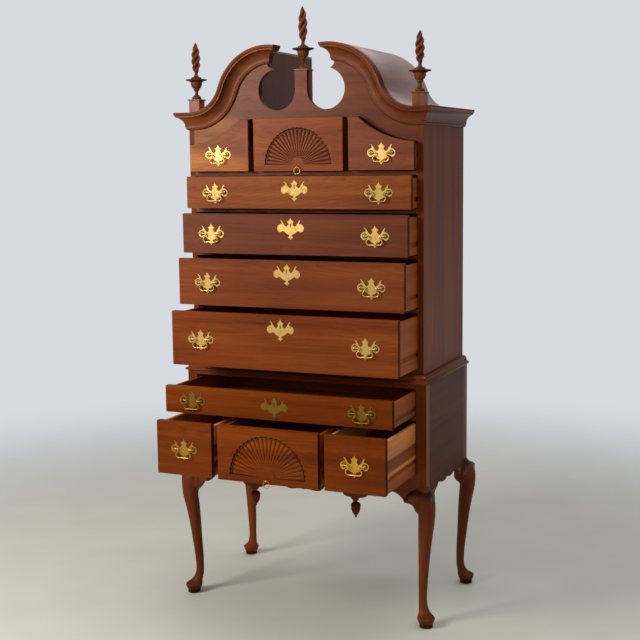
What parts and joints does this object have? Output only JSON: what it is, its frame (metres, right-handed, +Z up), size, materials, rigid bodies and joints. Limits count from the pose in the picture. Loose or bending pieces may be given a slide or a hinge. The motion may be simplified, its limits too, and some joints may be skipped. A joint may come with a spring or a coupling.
{
  "type": "highboy",
  "caption": "Bonnet-top highboy with a swan-neck pediment, flame finials, carved fans and sliding drawers with brass bails, standing on cabriole legs.",
  "frame": {"origin": "on the floor, under the middle of the whole box with the drawers as they stand open", "axes": "+Z up, -Y the way the drawers open, +X to the right of someone facing the fronts"},
  "size_m": [1.0332, 0.8514, 2.2296],
  "materials": {
    "case_wood": "satin polished hardwood",
    "drawer_wood": "satin polished hardwood",
    "secondary_wood": "planed softwood, unfinished",
    "finial_wood": "dark satin, carved and turned",
    "brass": "polished, lightly worn"
  },
  "bodies": {
    "case": {"leg_front_left": "case_wood", "leg_back_left": "case_wood", "leg_front_right": "case_wood", "leg_back_right": "case_wood", "knee_blocks": "case_wood", "lower_case_sides": "case_wood", "front_apron": "case_wood", "acorn_drops": "finial_wood", "lower_case_frame": "case_wood", "waist_moulding": "case_wood", "upper_case_sides": "case_wood", "upper_case_frame": "case_wood", "upper_case_boards": "secondary_wood", "back_boards": "secondary_wood", "crown_mouldings": "case_wood", "side_cornices": "case_wood", "pediment_board": "case_wood", "bonnet_roof": "case_wood", "bonnet_inner_boards": "secondary_wood", "finial_plinths": "case_wood", "flame_finials": "finial_wood", "drawer_runners": "secondary_wood"},
    "drawer_upper_4": {"drawer_upper_4": "drawer_wood", "brass_upper_4": "brass"},
    "bail_upper_4_left": {"bail_upper_4_left": "brass"},
    "bail_upper_4_right": {"bail_upper_4_right": "brass"},
    "drawer_upper_3": {"drawer_upper_3": "drawer_wood", "brass_upper_3": "brass"},
    "bail_upper_3_left": {"bail_upper_3_left": "brass"},
    "bail_upper_3_right": {"bail_upper_3_right": "brass"},
    "drawer_upper_2": {"drawer_upper_2": "drawer_wood", "brass_upper_2": "brass"},
    "bail_upper_2_left": {"bail_upper_2_left": "brass"},
    "bail_upper_2_right": {"bail_upper_2_right": "brass"},
    "drawer_upper_1": {"drawer_upper_1": "drawer_wood", "brass_upper_1": "brass"},
    "bail_upper_1_left": {"bail_upper_1_left": "brass"},
    "bail_upper_1_right": {"bail_upper_1_right": "brass"},
    "drawer_top_left": {"drawer_top_left": "drawer_wood", "brass_top_left": "brass"},
    "bail_top_left": {"bail_top_left": "brass"},
    "drawer_top_right": {"drawer_top_right": "drawer_wood", "brass_top_right": "brass"},
    "bail_top_right": {"bail_top_right": "brass"},
    "drawer_top_centre": {"drawer_top_centre": "drawer_wood", "brass_top_centre": "brass"},
    "ring_top_centre": {"ring_top_centre": "brass"},
    "drawer_lower_long": {"drawer_lower_long": "drawer_wood", "brass_lower_long": "brass"},
    "bail_lower_long_left": {"bail_lower_long_left": "brass"},
    "bail_lower_long_right": {"bail_lower_long_right": "brass"},
    "drawer_bottom_left": {"drawer_bottom_left": "drawer_wood", "brass_bottom_left": "brass"},
    "bail_bottom_left": {"bail_bottom_left": "brass"},
    "drawer_bottom_right": {"drawer_bottom_right": "drawer_wood", "brass_bottom_right": "brass"},
    "bail_bottom_right": {"bail_bottom_right": "brass"},
    "drawer_bottom_centre": {"drawer_bottom_centre": "drawer_wood", "brass_bottom_centre": "brass"},
    "ring_bottom_centre": {"ring_bottom_centre": "brass"}
  },
  "joints": [
    {"name": "slide_upper_4", "type": "slide", "parent": "case", "child": "drawer_upper_4", "axis": [0, -1, 0], "range_m": [-0.2021, 0.1579]},
    {"name": "swing_upper_4_left", "type": "hinge", "parent": "drawer_upper_4", "child": "bail_upper_4_left", "pos_m": [-0.322, -0.2935, 1.0414], "axis": [-1, 0, 0], "range_deg": [0, 85]},
    {"name": "swing_upper_4_right", "type": "hinge", "parent": "drawer_upper_4", "child": "bail_upper_4_right", "pos_m": [0.322, -0.2935, 1.0414], "axis": [-1, 0, 0], "range_deg": [0, 85]},
    {"name": "slide_upper_3", "type": "slide", "parent": "case", "child": "drawer_upper_3", "axis": [0, -1, 0], "range_m": [-0.1418, 0.2182]},
    {"name": "swing_upper_3_left", "type": "hinge", "parent": "drawer_upper_3", "child": "bail_upper_3_left", "pos_m": [-0.322, -0.2332, 1.24425], "axis": [-1, 0, 0], "range_deg": [0, 85]},
    {"name": "swing_upper_3_right", "type": "hinge", "parent": "drawer_upper_3", "child": "bail_upper_3_right", "pos_m": [0.322, -0.2332, 1.24425], "axis": [-1, 0, 0], "range_deg": [0, 85]},
    {"name": "slide_upper_2", "type": "slide", "parent": "case", "child": "drawer_upper_2", "axis": [0, -1, 0], "range_m": [-0.1043, 0.2557]},
    {"name": "swing_upper_2_left", "type": "hinge", "parent": "drawer_upper_2", "child": "bail_upper_2_left", "pos_m": [-0.322, -0.1957, 1.4201], "axis": [-1, 0, 0], "range_deg": [0, 85]},
    {"name": "swing_upper_2_right", "type": "hinge", "parent": "drawer_upper_2", "child": "bail_upper_2_right", "pos_m": [0.322, -0.1957, 1.4201], "axis": [-1, 0, 0], "range_deg": [0, 85]},
    {"name": "slide_upper_1", "type": "slide", "parent": "case", "child": "drawer_upper_1", "axis": [0, -1, 0], "range_m": [-0.068, 0.292]},
    {"name": "swing_upper_1_left", "type": "hinge", "parent": "drawer_upper_1", "child": "bail_upper_1_left", "pos_m": [-0.322, -0.1594, 1.5689], "axis": [-1, 0, 0], "range_deg": [0, 85]},
    {"name": "swing_upper_1_right", "type": "hinge", "parent": "drawer_upper_1", "child": "bail_upper_1_right", "pos_m": [0.322, -0.1594, 1.5689], "axis": [-1, 0, 0], "range_deg": [0, 85]},
    {"name": "slide_top_left", "type": "slide", "parent": "case", "child": "drawer_top_left", "axis": [0, -1, 0], "range_m": [-0.0379, 0.3221]},
    {"name": "swing_top_left", "type": "hinge", "parent": "drawer_top_left", "child": "bail_top_left", "pos_m": [-0.322, -0.1293, 1.707], "axis": [-1, 0, 0], "range_deg": [0, 85]},
    {"name": "slide_top_right", "type": "slide", "parent": "case", "child": "drawer_top_right", "axis": [0, -1, 0], "range_m": [-0.0379, 0.3221]},
    {"name": "swing_top_right", "type": "hinge", "parent": "drawer_top_right", "child": "bail_top_right", "pos_m": [0.322, -0.1293, 1.707], "axis": [-1, 0, 0], "range_deg": [0, 85]},
    {"name": "slide_top_centre", "type": "slide", "parent": "case", "child": "drawer_top_centre", "axis": [0, -1, 0], "range_m": [-0.0379, 0.3221]},
    {"name": "swing_ring_top_centre", "type": "hinge", "parent": "drawer_top_centre", "child": "ring_top_centre", "pos_m": [0, -0.1273, 1.658], "axis": [-1, 0, 0], "range_deg": [0, 85]},
    {"name": "slide_lower_long", "type": "slide", "parent": "case", "child": "drawer_lower_long", "axis": [0, -1, 0], "range_m": [-0.2365, 0.1235]},
    {"name": "swing_lower_long_left", "type": "hinge", "parent": "drawer_lower_long", "child": "bail_lower_long_left", "pos_m": [-0.33, -0.3529, 0.8247], "axis": [-1, 0, 0], "range_deg": [0, 85]},
    {"name": "swing_lower_long_right", "type": "hinge", "parent": "drawer_lower_long", "child": "bail_lower_long_right", "pos_m": [0.33, -0.3529, 0.8247], "axis": [-1, 0, 0], "range_deg": [0, 85]},
    {"name": "slide_bottom_left", "type": "slide", "parent": "case", "child": "drawer_bottom_left", "axis": [0, -1, 0], "range_m": [-0.3047, 0.0553]},
    {"name": "swing_bottom_left", "type": "hinge", "parent": "drawer_bottom_left", "child": "bail_bottom_left", "pos_m": [-0.33, -0.4211, 0.65995], "axis": [-1, 0, 0], "range_deg": [0, 85]},
    {"name": "slide_bottom_right", "type": "slide", "parent": "case", "child": "drawer_bottom_right", "axis": [0, -1, 0], "range_m": [-0.3047, 0.0553]},
    {"name": "swing_bottom_right", "type": "hinge", "parent": "drawer_bottom_right", "child": "bail_bottom_right", "pos_m": [0.33, -0.4211, 0.65995], "axis": [-1, 0, 0], "range_deg": [0, 85]},
    {"name": "slide_bottom_centre", "type": "slide", "parent": "case", "child": "drawer_bottom_centre", "axis": [0, -1, 0], "range_m": [-0.3047, 0.0553]},
    {"name": "swing_ring_bottom_centre", "type": "hinge", "parent": "drawer_bottom_centre", "child": "ring_bottom_centre", "pos_m": [0, -0.4191, 0.5749], "axis": [-1, 0, 0], "range_deg": [0, 85]}
  ]
}
